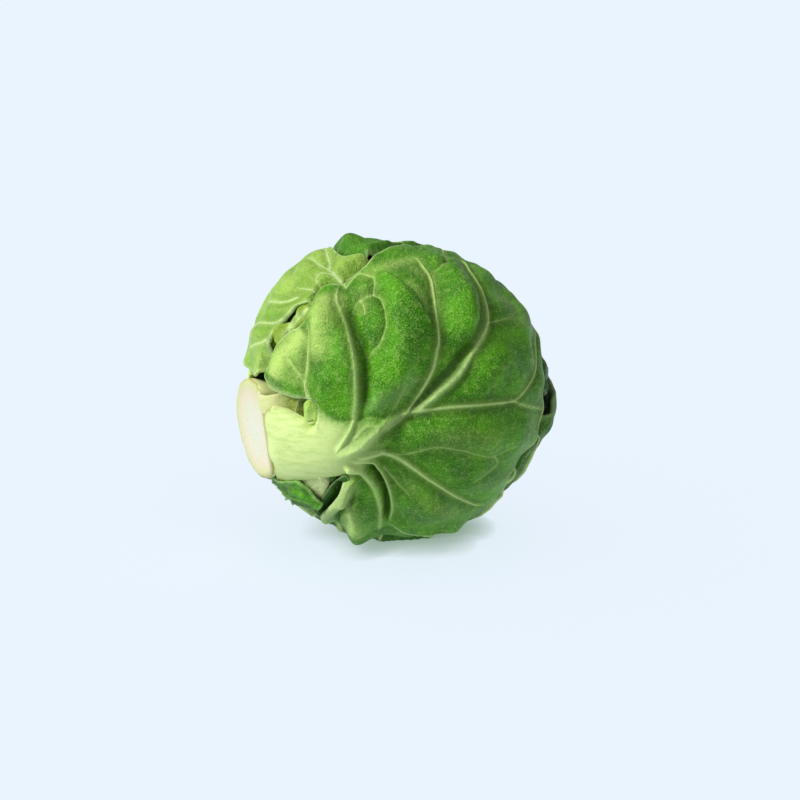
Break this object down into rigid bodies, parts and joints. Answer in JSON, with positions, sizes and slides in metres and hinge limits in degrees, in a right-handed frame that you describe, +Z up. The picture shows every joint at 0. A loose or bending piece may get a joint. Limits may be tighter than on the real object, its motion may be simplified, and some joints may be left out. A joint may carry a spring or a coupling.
{
  "type": "brussels sprout",
  "caption": "Whole Brussels sprout lying on its side, with a cut stem, overlapping veined wrapper leaves and a tight heart",
  "frame": {"origin": "below the middle of the sprout's box, on the surface it rests on", "axes": "+Z up; the cut stem points towards -X; the front leaf faces -Y"},
  "size_m": [0.0405, 0.0394, 0.0388],
  "materials": {
    "stem_flesh": "cut pith, matt and slightly fibrous",
    "front_leaf": "waxy green blade with pale veins and a thick pale stalk, satin",
    "under_leaf": "waxy green blade with pale veins, satin",
    "crown_leaf": "waxy green blade with pale veins, satin",
    "back_leaf": "waxy grey-green blade with pale veins, satin",
    "torn_leaf": "dark green torn blade with a pale torn edge, satin",
    "light_leaf": "light green blade with pale veins, satin",
    "pale_leaf": "yellow-green shaded blade, satin",
    "inner_leaf": "pale green heart leaf, satin",
    "heart": "pale yellow heart, matt"
  },
  "bodies": {
    "root": {"stem": "stem_flesh", "front_leaf": "front_leaf", "under_leaf": "under_leaf", "crown_leaf": "crown_leaf", "back_leaf": "back_leaf", "torn_leaf": "torn_leaf", "upper_left_leaf": "light_leaf", "side_leaf": "pale_leaf", "inner_leaf_1": "inner_leaf", "inner_leaf_2": "inner_leaf", "inner_leaf_3": "inner_leaf", "inner_leaf_4": "inner_leaf", "inner_leaf_5": "inner_leaf", "inner_leaf_6": "inner_leaf", "inner_leaf_7": "inner_leaf", "inner_leaf_8": "inner_leaf", "inner_leaf_9": "inner_leaf", "inner_leaf_10": "inner_leaf", "heart_bud": "heart"}
  },
  "joints": []
}
